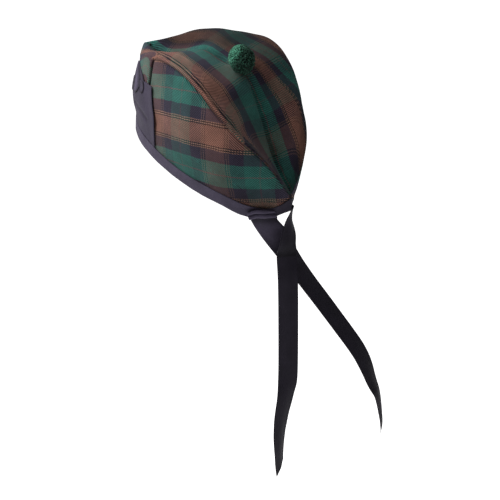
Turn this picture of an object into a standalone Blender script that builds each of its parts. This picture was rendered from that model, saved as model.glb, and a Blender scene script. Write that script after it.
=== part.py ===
"""A glengarry: a tartan cap with a folded crown, a ribbon band, a cockade, a toorie and two tails.

Metres, +Z up. The wearer faces -Y and the wearer's left is +X. The origin is the centre of the
head opening. The cap's pieces are modelled level and then pitched with the front up; the tails
hang straight down.
"""
import math
from collections import namedtuple
from itertools import product

import bmesh
import bpy
import numpy as np
from mathutils import Euler

# Driving sizes of the cap
HALF_WIDTH = 0.062
HALF_LENGTH = 0.118
CROWN_HEIGHT = 0.145
PITCH = math.radians(12.0)
CLOTH_WALL = 0.002
RIBBON_WALL = 0.001
GAP = 0.0003

# Driving sizes of the trimmings
BAND_HEIGHT = 0.0135
PATCH_WALL = 0.0012
BOW_DEPTH = 0.009
BOW_COLUMNS = 4
TOORIE_RADIUS = 0.0155
TOORIE_LOCK = 0.0018
TOORIE_FOOT = 0.60
TOORIE_STATION = 0.52
TOORIE_SPREAD = 0.18
RIBBON_WIDTH = 0.0222
ROLL_WIDTH = 0.0290
ROLL_DEPTH = 0.0032
LEFT_TAIL_LENGTH = 0.300
RIGHT_TAIL_LENGTH = 0.320
TAIL_CUT = 0.008
SEAT_CLEAR = 3
TAIL_PLANE_TURN = math.radians(130.0)
LEFT_SEAT_STATION = 0.87
RIGHT_SEAT_STATION = 0.93

# Stations run from the front point (0) to the back point (1)
STATIONS = 27
HOOK_STATION = 6
SIDE_ROWS = 7
CROWN_ROWS = 8
STRIP_SKEW = 0.05
STRIP_END = 0.60
HOOK_CUT = 0.30
LEFT, RIGHT = 1, -1

# Limits that keep sharp corners and narrow ends in proportion
MITRE_LIMIT = 0.55
SLANT_LIMIT = 0.30
BAND_LIMIT = 0.85
TIP_CUT = 0.0015
NUDGE = 0.01

# Side walls: rim and seam places, and how far the wall swells between them. x and swell are
# shares of HALF_WIDTH, y of HALF_LENGTH and z of CROWN_HEIGHT.
Wall = namedtuple("Wall", "rim_x rim_y rim_z swell seam_x seam_y seam_z")
WALLS = [
    Wall(0.00, -1.00, 0.03, 0.00, 0.00, -1.06, 0.57),
    Wall(0.34, -0.82, 0.03, 0.02, 0.37, -0.87, 0.66),
    Wall(0.65, -0.58, 0.04, 0.06, 0.71, -0.57, 0.79),
    Wall(0.87, -0.28, 0.04, 0.10, 0.87, -0.21, 0.83),
    Wall(0.98, 0.03, 0.03, 0.13, 0.97, 0.11, 0.78),
    Wall(1.00, 0.31, 0.02, 0.11, 0.98, 0.38, 0.68),
    Wall(0.90, 0.56, 0.00, 0.10, 0.89, 0.60, 0.58),
    Wall(0.65, 0.72, -0.06, 0.05, 0.61, 0.80, 0.44),
    Wall(0.32, 0.86, -0.08, 0.02, 0.27, 0.92, 0.26),
    Wall(0.00, 0.99, 0.00, 0.00, 0.00, 0.96, 0.12),
]

# Crown folds at the same stations: the lower fold on the left, the higher one on the right and
# the crease between them, in the same shares.
Fold = namedtuple("Fold", "left_x left_y left_z right_x right_y right_z crease_x crease_y crease_z")
FOLDS = [
    Fold(0.00, -1.03, 0.68, 0.00, -1.03, 0.68, 0.00, -0.97, 0.69),
    Fold(0.26, -0.82, 0.71, -0.32, -0.79, 0.79, -0.03, -0.81, 0.66),
    Fold(0.42, -0.61, 0.79, -0.52, -0.57, 0.90, -0.06, -0.61, 0.72),
    Fold(0.52, -0.33, 0.86, -0.69, -0.26, 0.98, -0.06, -0.36, 0.86),
    Fold(0.55, -0.04, 0.84, -0.87, 0.03, 1.00, -0.08, -0.08, 0.85),
    Fold(0.61, 0.23, 0.74, -0.95, 0.28, 0.90, -0.13, 0.19, 0.81),
    Fold(0.58, 0.43, 0.63, -0.84, 0.49, 0.72, -0.13, 0.40, 0.61),
    Fold(0.45, 0.64, 0.48, -0.56, 0.67, 0.51, -0.08, 0.57, 0.43),
    Fold(0.19, 0.82, 0.29, -0.23, 0.84, 0.30, -0.03, 0.75, 0.26),
    Fold(0.00, 0.96, 0.12, 0.00, 0.96, 0.12, 0.00, 0.96, 0.12),
]

# The bow, from the band's edge upwards: the side wall's row it lies at, the station it starts at,
# how many stations wide it is there, and its depth as a share of BOW_DEPTH.
Bow = namedtuple("Bow", "row start width depth")
BOWS = [
    Bow(1.0, 1.1, 1.8, 0.20),
    Bow(1.8, 0.7, 2.9, 0.60),
    Bow(2.6, 0.4, 3.7, 1.00),
    Bow(3.4, 0.5, 3.6, 0.95),
    Bow(4.0, 0.9, 2.9, 0.75),
    Bow(4.7, 1.2, 2.4, 0.70),
    Bow(5.5, 1.5, 1.8, 0.60),
    Bow(6.3, 2.0, 0.9, 0.30),
]

# A tail's hanging stretch: places across, toward the wearer's left rear and down, as shares of
# the tail's length, and the turn of its width in degrees.
Hang = namedtuple("Hang", "across toward down turn")
LEFT_HANG = [
    Hang(0.000, 0.000, 0.000, 0),
    Hang(0.039, -0.020, 0.064, 15),
    Hang(0.079, -0.047, 0.143, 25),
    Hang(0.139, -0.060, 0.241, 38),
    Hang(0.249, -0.067, 0.408, 40),
    Hang(0.359, -0.067, 0.572, 42),
    Hang(0.412, -0.060, 0.696, 62),
    Hang(0.436, -0.057, 0.740, 72),
    Hang(0.448, -0.057, 0.799, 76),
    Hang(0.456, -0.057, 0.849, 80),
    Hang(0.456, -0.057, 0.889, 82),
]
RIGHT_HANG = [
    Hang(0.000, 0.000, 0.000, 88),
    Hang(-0.003, 0.028, 0.056, 59),
    Hang(-0.009, 0.044, 0.101, 46),
    Hang(-0.013, 0.059, 0.143, 25),
    Hang(-0.009, 0.066, 0.231, 8),
    Hang(-0.006, 0.066, 0.416, 5),
    Hang(-0.004, 0.066, 0.595, 5),
    Hang(-0.011, 0.066, 0.664, 28),
    Hang(-0.027, 0.066, 0.768, 42),
    Hang(-0.032, 0.066, 0.847, 54),
    Hang(-0.032, 0.066, 0.928, 65),
    Hang(-0.028, 0.066, 0.983, 68),
]

# The left tail's two rolls: place down the band and thickness, as shares of BAND_HEIGHT and
# ROLL_DEPTH.
Roll = namedtuple("Roll", "down depth")
ROLLS = [
    Roll(0.00, 0.40),
    Roll(0.10, 0.95),
    Roll(0.36, 1.00),
    Roll(0.50, 0.45),
    Roll(0.62, 0.95),
    Roll(0.92, 1.00),
    Roll(1.06, 0.45),
]
FLAT_SEAT = [Roll(0.15, 0.0), Roll(0.60, 0.0), Roll(1.05, 0.0)]


def between(rows, share):
    """The value at a share (0 to 1) of the way along evenly spaced rows, smoothly joined."""
    last = len(rows) - 1
    place = min(max(share, 0.0), 1.0) * last
    index = min(int(place), last - 1)
    t = place - index
    start, end = rows[index], rows[index + 1]
    before = rows[index - 1] if index > 0 else 2 * rows[0] - rows[1]
    after = rows[index + 2] if index + 2 <= last else 2 * rows[last] - rows[last - 1]
    slope = 0.5 * (end - before)
    bend = 0.5 * (2 * before - 5 * start + 4 * end - after)
    twist = 0.5 * (3 * start - before - 3 * end + after)
    return start + slope * t + bend * t ** 2 + twist * t ** 3


def place_of(x, y, z):
    """Shares of the cap's three sizes as a point in metres."""
    return np.array([x * HALF_WIDTH, y * HALF_LENGTH, z * CROWN_HEIGHT])


RIM_LINE = [place_of(w.rim_x, w.rim_y, w.rim_z) for w in WALLS]
SEAM_LINE = [place_of(w.seam_x, w.seam_y, w.seam_z) for w in WALLS]
SWELL_LINE = [np.array([w.swell * HALF_WIDTH]) for w in WALLS]
FOLD_LINES = {
    LEFT: [place_of(f.left_x, f.left_y, f.left_z) for f in FOLDS],
    RIGHT: [place_of(f.right_x, f.right_y, f.right_z) for f in FOLDS],
}
CREASE_LINE = [place_of(f.crease_x, f.crease_y, f.crease_z) for f in FOLDS]


def skewed(station, height):
    """The stations lean back toward the rim, as the front strip's seam does."""
    lean = math.sin(math.pi * min(station / STRIP_END, 1.0)) ** 2
    return station + STRIP_SKEW * (1 - height) * lean


def side_point(half, station, height):
    """A point of a side wall's outer face: height runs from the rim (0) to the seam (1)."""
    along = skewed(station, height)
    rim, seam = between(RIM_LINE, along), between(SEAM_LINE, along)
    ahead = between(RIM_LINE, along + NUDGE) - between(RIM_LINE, along - NUDGE)
    outward = np.array([ahead[1], -ahead[0], 0.0]) / math.hypot(ahead[0], ahead[1])
    swell = between(SWELL_LINE, along)[0] * math.sin(math.pi * height)
    point = rim + (seam - rim) * height + outward * swell
    return point * np.array([half, 1, 1])


def crown_point(half, station, inward):
    """A point of the crown's outer face: inward runs from the seam (0) to the crease (1)."""
    seam = between(SEAM_LINE, station) * np.array([half, 1, 1])
    fold = between(FOLD_LINES[half], station)
    crease = between(CREASE_LINE, station)
    return between([seam, fold, crease], inward)


def band_share(station):
    """The band's height as a share of the side wall's height there."""
    wall = side_point(LEFT, station, 1.0) - side_point(LEFT, station, 0.0)
    return min(BAND_HEIGHT / np.linalg.norm(wall), BAND_LIMIT)


def side_grid(half):
    """Side wall points by station and row: the rim, the band's top edge, then up to the seam."""
    grid = np.zeros((STATIONS + 1, SIDE_ROWS + 1, 3))
    for i, j in product(range(STATIONS + 1), range(SIDE_ROWS + 1)):
        station = i / STATIONS
        band = band_share(station)
        height = 0.0 if j == 0 else band + (1 - band) * (j - 1) / (SIDE_ROWS - 1)
        grid[i, j] = side_point(half, station, height)
    grid[HOOK_STATION, SIDE_ROWS] = hook_corner(grid)
    return grid


def hook_corner(grid):
    """The seam's corner, drawn in so that it turns in a small hook."""
    corner = grid[HOOK_STATION, SIDE_ROWS]
    inside = grid[HOOK_STATION + 1, SIDE_ROWS - 1]
    return corner + (inside - corner) * HOOK_CUT


def crown_grid(half, side):
    """Crown points by station and row, from the seam to the crease."""
    grid = np.zeros((STATIONS + 1, CROWN_ROWS + 1, 3))
    for i, k in product(range(STATIONS + 1), range(CROWN_ROWS + 1)):
        grid[i, k] = crown_point(half, i / STATIONS, k / CROWN_ROWS)
    grid[:, 0] = side[:, SIDE_ROWS]
    return grid


def key_of(point):
    """Points that coincide share this key."""
    return tuple(np.round(point, 6) + 0.0)


def unit(vector):
    """The vector at a length of one."""
    return vector / np.linalg.norm(vector)


def grid_faces(grid, half):
    """The grid's faces as corner indices, turned so that they face outward."""
    rows, columns = grid.shape[0] - 1, grid.shape[1] - 1
    for i, j in product(range(rows), range(columns)):
        ring = [(i, j), (i + 1, j), (i + 1, j + 1), (i, j + 1)]
        yield ring if half == LEFT else ring[::-1]


def inward_steps(grids):
    """One step through a wall of unit thickness at each point, mitred where faces meet."""
    gathered = {}
    for grid, half in grids:
        for ring in grid_faces(grid, half):
            a, b, c, d = (grid[corner] for corner in ring)
            normal = np.cross(c - a, d - b)
            if not np.any(np.abs(normal) > 0):
                continue
            for corner in ring:
                gathered.setdefault(key_of(grid[corner]), []).append(normal)
    steps = {}
    for key, normals in gathered.items():
        mean = unit(sum(normals))
        lean = min(float(mean @ unit(normal)) for normal in normals)
        steps[key] = -mean / max(lean, MITRE_LIMIT)
    return steps


def steps_for(grid, steps):
    """The inward steps laid out like the grid."""
    found = np.zeros_like(grid)
    for i, j in product(range(grid.shape[0]), range(grid.shape[1])):
        found[i, j] = steps[key_of(grid[i, j])]
    return found


def drawn_in(edge, inside, steps, gap=GAP / 2):
    """Each edge point's move toward the point inside it, so that the cut wall stands off by gap."""
    inward = [unit(to - point) for point, to in zip(edge, inside)]
    runs = np.gradient(edge, axis=0)
    moves = []
    for direction, run, step in zip(inward, runs, steps):
        across = unit(np.cross(run, step))
        moves.append(direction * gap / max(abs(float(direction @ across)), SLANT_LIMIT))
    return np.array(moves)


SIDES = {half: side_grid(half) for half in (LEFT, RIGHT)}
CROWNS = {half: crown_grid(half, SIDES[half]) for half in (LEFT, RIGHT)}
STEPS = inward_steps([(grids[half], half) for grids in (SIDES, CROWNS) for half in grids])
SIDE_STEPS = {half: steps_for(SIDES[half], STEPS) for half in SIDES}
CROWN_STEPS = {half: steps_for(CROWNS[half], STEPS) for half in CROWNS}


def clear_scene():
    for scene_object in list(bpy.data.objects):
        bpy.data.objects.remove(scene_object, do_unlink=True)


def make_material(name, colour, roughness):
    material = bpy.data.materials.new(name)
    material.use_nodes = True
    shader = material.node_tree.nodes["Principled BSDF"]
    shader.inputs["Base Color"].default_value = (*colour, 1.0)
    shader.inputs["Roughness"].default_value = roughness
    shader.inputs["Metallic"].default_value = 0.0
    return material


def add_object(name, bm, material, collection, parent=None):
    """The bmesh as a named object in the part's collection."""
    mesh = bpy.data.meshes.new(name)
    bmesh.ops.recalc_face_normals(bm, faces=bm.faces[:])
    bm.to_mesh(mesh)
    bm.free()
    mesh.materials.append(material)
    made = bpy.data.objects.new(name, mesh)
    made.parent = parent
    collection.objects.link(made)
    return made


def wall_bmesh(patches):
    """One closed wall from patches of outer points, inner points and the half they lie on."""
    bm = bmesh.new()
    corners = {}

    def corner(outer, inner):
        key = key_of(outer)
        if key not in corners:
            corners[key] = (bm.verts.new(outer), bm.verts.new(inner))
        return corners[key]

    outer_faces = []
    for outer, inner, half in patches:
        for ring in grid_faces(outer, half):
            pairs = list(dict.fromkeys(corner(outer[place], inner[place]) for place in ring))
            if len(pairs) > 2:
                outer_faces.append(bm.faces.new([pair[0] for pair in pairs]))
                bm.faces.new([pair[1] for pair in reversed(pairs)])
    through = {pair[0]: pair[1] for pair in corners.values()}
    open_loops = [loop for face in outer_faces for loop in face.loops if loop.edge.is_boundary]
    edge_pairs = [(loop.vert, loop.link_loop_next.vert) for loop in open_loops]
    for start, end in edge_pairs:
        bm.faces.new([end, start, through[start], through[end]])
    return bm


def side_patch(half):
    """A side panel from the hook's station to the back, drawn in by half a gap at its seams."""
    outer = SIDES[half][HOOK_STATION:]
    shift = np.zeros_like(outer)
    steps = SIDE_STEPS[half][HOOK_STATION:]
    shift[:, -1] += drawn_in(outer[:, -1], outer[:, -2], steps[:, -1])
    shift[0] += drawn_in(outer[0], outer[1], steps[0])
    shift[-1, :, 0] = half * GAP / 2
    inner = outer + steps * CLOTH_WALL
    return outer + shift, inner + shift, half


def crown_patches(half):
    """The half crown and its front strip, which share their edge up to the hook."""
    top, strip = CROWNS[half], SIDES[half][:HOOK_STATION + 1]
    top_steps, strip_steps = CROWN_STEPS[half], SIDE_STEPS[half][:HOOK_STATION + 1]
    top_shift, strip_shift = np.zeros_like(top), np.zeros_like(strip)
    seam = slice(HOOK_STATION, STATIONS)
    top_shift[seam, 0] = drawn_in(top[seam, 0], top[seam, 1], top_steps[seam, 0])
    strip_shift[-1] = drawn_in(strip[-1], strip[-2], strip_steps[-1])
    corner_shift = top_shift[HOOK_STATION, 0] + strip_shift[-1, -1]
    top_shift[HOOK_STATION, 0] = corner_shift
    strip_shift[-1, -1] = corner_shift
    top_shift[-1] = unit(CREASE_LINE[-2] - CREASE_LINE[-1]) * TIP_CUT
    top_inner = top + top_steps * CLOTH_WALL
    strip_inner = strip + strip_steps * CLOTH_WALL
    return [
        (top + top_shift, top_inner + top_shift, half),
        (strip + strip_shift, strip_inner + strip_shift, half),
    ]


def band_section(half, station):
    """The band's section at a station: a fold of ribbon round the side wall's rim."""
    rim, top = SIDES[half][station, 0], SIDES[half][station, 1]
    rim_out, top_out = -SIDE_STEPS[half][station, 0], -SIDE_STEPS[half][station, 1]
    down = unit(rim - top)
    near, far = GAP, GAP + RIBBON_WALL
    return [
        top + top_out * near,
        top + top_out * far,
        rim + rim_out * far + down * far,
        rim - rim_out * (CLOTH_WALL + far) + down * far,
        top - top_out * (CLOTH_WALL + far),
        top - top_out * (CLOTH_WALL + near),
        rim - rim_out * (CLOTH_WALL + near) + down * near,
        rim + rim_out * near + down * near,
    ]


def loft_bmesh(sections, closed):
    """A solid lofted through sections of the same number of points."""
    bm = bmesh.new()
    rings = [[bm.verts.new(point) for point in section] for section in sections]
    pairs = list(zip(rings, rings[1:]))
    if closed:
        pairs.append((rings[-1], rings[0]))
    for ring, following in pairs:
        for k in range(len(ring)):
            after = (k + 1) % len(ring)
            bm.faces.new([ring[k], ring[after], following[after], following[k]])
    if not closed:
        bm.faces.new(rings[0][::-1])
        bm.faces.new(rings[-1])
    return bm


def band_bmesh():
    """The binding runs round the whole rim, left side first."""
    left = [band_section(LEFT, i) for i in range(STATIONS + 1)]
    right = [band_section(RIGHT, i) for i in range(STATIONS - 1, 0, -1)]
    return loft_bmesh(left + right, closed=True)


def patch_bmesh():
    """The cockade's flat ribbon over the left front, from the band up to the hook's seam."""
    rows = slice(1, SIDE_ROWS - 1)
    cloth = SIDES[LEFT][1:HOOK_STATION + 1, rows]
    outward = -SIDE_STEPS[LEFT][1:HOOK_STATION + 1, rows]
    shift = np.zeros_like(cloth)
    shift[:, 0] = drawn_in(cloth[:, 0], cloth[:, 1], outward[:, 0], GAP)
    inner = cloth + outward * GAP + shift
    outer = cloth + outward * (GAP + PATCH_WALL) + shift
    return wall_bmesh([(outer, inner, LEFT)])


def on_grid(grid, station, row):
    """The place at a part station and part row of a grid."""
    i, j = min(int(station), grid.shape[0] - 2), min(int(row), grid.shape[1] - 2)
    s, t = station - i, row - j
    lower = grid[i, j] * (1 - s) + grid[i + 1, j] * s
    upper = grid[i, j + 1] * (1 - s) + grid[i + 1, j + 1] * s
    return lower * (1 - t) + upper * t


def bow_bmesh():
    """The cockade's folded ribbon, standing out over the patch and above it."""
    inner = np.zeros((BOW_COLUMNS + 1, len(BOWS), 3))
    outer = np.zeros_like(inner)
    foot = 3 * GAP + PATCH_WALL
    for i, (j, bow) in product(range(BOW_COLUMNS + 1), enumerate(BOWS)):
        share = i / BOW_COLUMNS
        station = bow.start + share * bow.width
        outward = -on_grid(SIDE_STEPS[LEFT], station, bow.row)
        depth = bow.depth * BOW_DEPTH * math.sin(math.pi * (0.15 + 0.7 * share))
        inner[i, j] = on_grid(SIDES[LEFT], station, bow.row) + outward * foot
        outer[i, j] = inner[i, j] + outward * (RIBBON_WALL + depth)
    lift = unit(inner[0, 1] - inner[0, 0]) * 2 * GAP
    inner[:, 0] += lift
    outer[:, 0] += lift
    aside = np.array([GAP, 0.0, 0.0])
    return wall_bmesh([(outer + aside, inner + aside, LEFT)])


def toorie_seat():
    """The pompom's centre and upright: its flat foot clears the crown, and so does its head."""
    foot = crown_point(LEFT, TOORIE_STATION, 1.0)
    ahead = crown_point(LEFT, TOORIE_STATION - NUDGE, 1.0)
    behind = crown_point(LEFT, TOORIE_STATION + NUDGE, 1.0)
    upright = unit(np.cross(behind - ahead, np.array([-1.0, 0.0, 0.0])))
    spread = np.linspace(-TOORIE_SPREAD, TOORIE_SPREAD, STATIONS)
    nearby = np.array([
        crown_point(half, TOORIE_STATION + along, inward)
        for half, along, inward in product((LEFT, RIGHT), spread, np.linspace(0, 1, STATIONS))
    ])
    lift = TOORIE_RADIUS * TOORIE_FOOT
    while True:
        centre = foot + upright * lift
        distances = np.linalg.norm(nearby - centre, axis=1)
        rises = (nearby - centre) @ upright + TOORIE_RADIUS * TOORIE_FOOT
        if np.all((distances > TOORIE_RADIUS) | (rises < -GAP)):
            return centre, upright
        lift += GAP


def toorie_bmesh(upright):
    """A round head with a flat foot and a short tuft of wool raised on each of its faces."""
    bm = bmesh.new()
    bmesh.ops.create_icosphere(bm, subdivisions=2, radius=TOORIE_RADIUS - TOORIE_LOCK)
    base = -upright * TOORIE_RADIUS * TOORIE_FOOT
    whole = bm.verts[:] + bm.edges[:] + bm.faces[:]
    bmesh.ops.bisect_plane(bm, geom=whole, plane_co=base, plane_no=upright, clear_inner=True)
    rim = [edge for edge in bm.edges if edge.is_boundary]
    bmesh.ops.contextual_create(bm, geom=rim)
    cut_faces = {face for edge in rim for face in edge.link_faces}
    heads = [face for face in bm.faces if face not in cut_faces]
    bmesh.ops.inset_individual(bm, faces=heads, thickness=TOORIE_LOCK * 0.25, depth=0.0)
    tufts = bmesh.ops.extrude_discrete_faces(bm, faces=heads)["faces"]
    for tuft in tufts:
        middle = tuft.calc_center_median()
        for vert in tuft.verts:
            tip = middle + (vert.co - middle) * 0.7
            vert.co = tip.normalized() * TOORIE_RADIUS
    return bm


def pitched(point):
    """A point of the level cap, moved with the front up."""
    turned = Euler((-PITCH, 0.0, 0.0)).to_matrix()
    return np.array(turned) @ point


def hang_axes():
    """Across and toward, the level axes of the plane in which the tails hang."""
    across = np.array([math.cos(TAIL_PLANE_TURN), math.sin(TAIL_PLANE_TURN), 0.0])
    near = np.array([math.sin(TAIL_PLANE_TURN), -math.cos(TAIL_PLANE_TURN), 0.0])
    return across, near


def tail_seat(half, station):
    """Where a tail lies on the band: a plane that touches its outer face, with its own axes."""
    tops = np.array([pitched(band_section(half, i)[1]) for i in range(STATIONS + 1)])
    rims = np.array([pitched(band_section(half, i)[2]) for i in range(STATIONS + 1)])
    low = int(station * STATIONS)
    share = station * STATIONS - low
    top = tops[low] + (tops[low + 1] - tops[low]) * share
    rim = rims[low] + (rims[low + 1] - rims[low]) * share
    rearward = unit(rims[low + 1] - rims[low])
    outward = unit(np.cross(rearward, top - rim)) * half
    down = unit(rim - top - rearward * ((rim - top) @ rearward))
    proud = max(float((point - top) @ outward) for point in [*tops, *rims])
    return top + outward * (proud + GAP), rearward * half, outward, down


def ribbon_section(centre, side, outward, width, front, back):
    """A section across a ribbon: three points on its face and three on its back."""
    face = [centre + side * width * share + outward * front for share in (-0.5, 0.0, 0.5)]
    rear = [centre + side * width * share - outward * back for share in (0.5, 0.0, -0.5)]
    return face + rear


def hang_sections(start, length, rows):
    """The sections of a tail's hanging stretch, with three for each row of its table.

    The ribbon swings clear of its seat in one bend before the first of them.
    """
    across, near = hang_axes()
    up = np.array([0.0, 0.0, 1.0])
    table = [np.array([row.across, row.toward, row.down, row.turn]) for row in rows]

    def centre(share):
        row = between(table, share)
        return start + (across * row[0] + near * row[1] - up * row[2]) * length

    count = 3 * (len(rows) - 1)
    sections = []
    for index in range(SEAT_CLEAR, count + 1):
        share = index / count
        run = unit(centre(share + NUDGE) - centre(share - NUDGE))
        turn = math.radians(between(table, share)[3])
        level = unit(np.cross(run, -near))
        side = level * math.cos(turn) - near * math.sin(turn)
        side = unit(side - run * (side @ run))
        if side @ (across * math.cos(turn) - near * math.sin(turn)) < 0:
            side = -side
        outward = np.cross(run, side)
        half_wall = RIBBON_WALL / 2
        section = ribbon_section(centre(share), side, outward, RIBBON_WIDTH, half_wall, half_wall)
        sections.append(section)
    cut = [share * TAIL_CUT for share in (1.0, 0.5, 0.0, 0.0, 0.5, 1.0)]
    sections[-1] = [point + run * depth for point, depth in zip(sections[-1], cut)]
    return sections


def tail_bmesh(half, station, length, hang, rolls, seat_width):
    """A tail: seated on the band, with rolls where it has them, then hanging free."""
    seat, side, outward, down = tail_seat(half, station)
    sections = []
    for roll in rolls:
        centre = seat + down * roll.down * BAND_HEIGHT
        depth = RIBBON_WALL + roll.depth * ROLL_DEPTH
        sections.append(ribbon_section(centre, side, outward, seat_width, depth, 0.0))
    foot = seat + down * (rolls[-1].down * BAND_HEIGHT + RIBBON_WALL) + outward * RIBBON_WALL / 2
    sections += hang_sections(foot, length, hang)
    return loft_bmesh(sections, closed=False)


clear_scene()
parts = bpy.data.collections.new("glengarry")
bpy.context.scene.collection.children.link(parts)

cloth = make_material("tartan_wool", (0.055, 0.140, 0.110), 0.92)
crown_cloth = make_material("tartan_wool_crown", (0.150, 0.100, 0.085), 0.92)
ribbon = make_material("grosgrain_ribbon", (0.060, 0.055, 0.070), 0.75)
wool = make_material("pompom_wool", (0.020, 0.120, 0.075), 0.95)

cap_frame = bpy.data.objects.new("cap_frame", None)
cap_frame.rotation_euler = (-PITCH, 0.0, 0.0)
parts.objects.link(cap_frame)

add_object("side_left", wall_bmesh([side_patch(LEFT)]), cloth, parts, cap_frame)
add_object("side_right", wall_bmesh([side_patch(RIGHT)]), cloth, parts, cap_frame)
crown_walls = wall_bmesh(crown_patches(LEFT) + crown_patches(RIGHT))
add_object("crown", crown_walls, crown_cloth, parts, cap_frame)
add_object("band", band_bmesh(), ribbon, parts, cap_frame)
add_object("cockade_patch", patch_bmesh(), ribbon, parts, cap_frame)
add_object("cockade_bow", bow_bmesh(), ribbon, parts, cap_frame)

toorie_place, toorie_upright = toorie_seat()
toorie = add_object("toorie", toorie_bmesh(toorie_upright), wool, parts, cap_frame)
toorie.location = toorie_place

left_tail = tail_bmesh(LEFT, LEFT_SEAT_STATION, LEFT_TAIL_LENGTH, LEFT_HANG, ROLLS, ROLL_WIDTH)
add_object("tail_left", left_tail, ribbon, parts)
right_tail = tail_bmesh(
    RIGHT, RIGHT_SEAT_STATION, RIGHT_TAIL_LENGTH, RIGHT_HANG, FLAT_SEAT, RIBBON_WIDTH
)
add_object("tail_right", right_tail, ribbon, parts)
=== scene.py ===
"""A glengarry in tartan wool: cloth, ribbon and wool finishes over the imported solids.

Metres, +Z up. The wearer faces -Y and the wearer's left is +X. The cap's pieces are worked out
level, with the origin in the head opening, and then pitched with the front up. A station is a
share of the way along a side, from the front (0) to the back (1).
"""

import math
import random
from collections import namedtuple

import bmesh
import bpy
import numpy as np
from mathutils import Matrix, Vector, noise


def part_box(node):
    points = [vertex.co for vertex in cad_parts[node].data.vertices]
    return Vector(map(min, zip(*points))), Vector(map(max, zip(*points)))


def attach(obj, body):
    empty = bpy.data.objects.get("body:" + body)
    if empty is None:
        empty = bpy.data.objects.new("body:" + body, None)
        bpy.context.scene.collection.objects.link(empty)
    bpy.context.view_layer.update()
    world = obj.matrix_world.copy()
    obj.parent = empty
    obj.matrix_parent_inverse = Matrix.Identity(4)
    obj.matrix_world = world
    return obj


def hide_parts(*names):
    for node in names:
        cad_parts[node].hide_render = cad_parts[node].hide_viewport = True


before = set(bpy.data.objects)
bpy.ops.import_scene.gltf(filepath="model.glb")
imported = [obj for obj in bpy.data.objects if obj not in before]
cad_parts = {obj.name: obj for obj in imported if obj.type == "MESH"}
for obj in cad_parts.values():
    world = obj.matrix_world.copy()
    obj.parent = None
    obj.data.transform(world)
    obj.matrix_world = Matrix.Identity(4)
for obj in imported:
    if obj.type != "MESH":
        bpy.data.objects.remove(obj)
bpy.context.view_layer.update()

MM = 1000.0
LEFT, RIGHT = 1, -1

# The cap's sizes, as in its solids, whose sides have 27 steps of station
HALF_WIDTH = 0.062
HALF_LENGTH = 0.118
CROWN_HEIGHT = 0.145
PITCH = math.radians(12.0)
CLOTH_WALL = 0.002
BAND_HEIGHT = 0.0135
SIDE_STEPS = 27

# The front strip's edge, which runs back toward the rim, and the seam's round hook at its top
STRIP_SKEW = 0.05
STRIP_END = 0.60
HOOK_STATION = 6 / SIDE_STEPS
HOOK_RADIUS = 0.0080
HOOK_REACH = 0.0140

# The crown's edge: it dips into the seam, rolls over its turned-in cloth and ends in a stitched
# groove. Its roll fades from one station on, and shows the cloth's dark stripe from another.
SEAM_DIP = 0.0008
SEAM_DIP_WIDTH = 0.0009
ROLL_SPAN = 0.0056
ROLL_RISE = 0.0018
ROLL_FADE = 0.56
ROLL_FADE_SPAN = 0.12
ROLL_LOSS = 0.9
ROLL_DARK = 0.68
DARK_SPREAD = 0.003
GROOVE_PLACE = ROLL_SPAN + 0.0006
GROOVE_DEPTH = 0.0011
GROOVE_WIDTH = 0.0013

# A panel's edge, drawn down under the roll, and the crown's crease, which is shallow at its ends
TUCK_DEPTH = 0.0034
TUCK_WIDTH = 0.0022
CREASE_DEPTH = 0.0028
CREASE_WIDTH = 0.0038
CREASE_FADE = 0.12
CREASE_END = 0.84

# Steps of each grid, along and across
PANEL_GRID = (300, 110)
CROWN_GRID = (280, 110)
STRIP_GRID = (62, 110)
PATCH_GRID = (70, 60)
BOW_GRID = (90, 110)
BAND_STEPS = 300

# Ribbons, and how far the band and the cockade stand off the cloth. The cockade's flat ribbon
# rises more at its middle and at its free rear edge, and the bow more where it lies on it.
RIBBON_WIDTH = 0.0222
RIBBON_WALL = 0.0007
COCKADE_WALL = 0.0008
BAND_STAND = 0.0011
PATCH_STAND = 0.0006
PATCH_RISE = 0.0008
FREE_EDGE_RISE = 0.0013
BOW_STAND = 0.0010
BOW_OVER_PATCH = 0.0014

# The tails: their grid, whose rows start a little below the seat, the slanted cut at their tips,
# the share over which a wide seat narrows, their hollow, and the plane in which they hang
TAIL_COLUMNS = 16
TAIL_ROWS = 150
TAIL_FIRST_ROW = 4
TAIL_CUT = 0.011
TAIL_CUT_ROWS = 8
TAIL_NECK = 0.26
TAIL_CUP = 0.0006
PLANE_TURN = math.radians(130.0)
PLANE_ACROSS = np.array([math.cos(PLANE_TURN), math.sin(PLANE_TURN), 0.0])
PLANE_TOWARD = np.array([math.sin(PLANE_TURN), -math.cos(PLANE_TURN), 0.0])

# Their seats on the band: the near one's rolls, which stand out further than ROLLED_OVER and sag,
# the drop over which its width turns square to its length, and the drop to the far one's fold
ROLL_WIDTH = 0.0305
ROLL_SAG = 0.0034
ROLLED_OVER = 0.001
SQUARE_DROP = 0.045
FOLD_DROP = 0.050
SEAT_STEPS = 270
SEAT_STAND = 0.0013

# The cockade: heights on the side wall, as shares, the stations of its flat ribbon's edges in
# steps of the side, and how far in shade its ribbon lies all over
PATCH_FOOT = 0.13
PATCH_TOP = 0.71
BULGE_FADE = 0.14
PATCH_FRONT = 0.5
PATCH_REAR = 6.7
PATCH_FLARE = 0.8
BULGE_SPAN = 6.0
BOW_FOOT = 0.545
BOW_TOP = 0.93
COCKADE_SHADE = -0.42

# How high up the front strip's edge lies flat, and over what height it rises again: on the left
# under the cockade's flat ribbon, on the right as far as the hook
STRIP_FLAT = {LEFT: (PATCH_TOP - 0.02, 0.03), RIGHT: (0.94, 0.06)}

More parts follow.
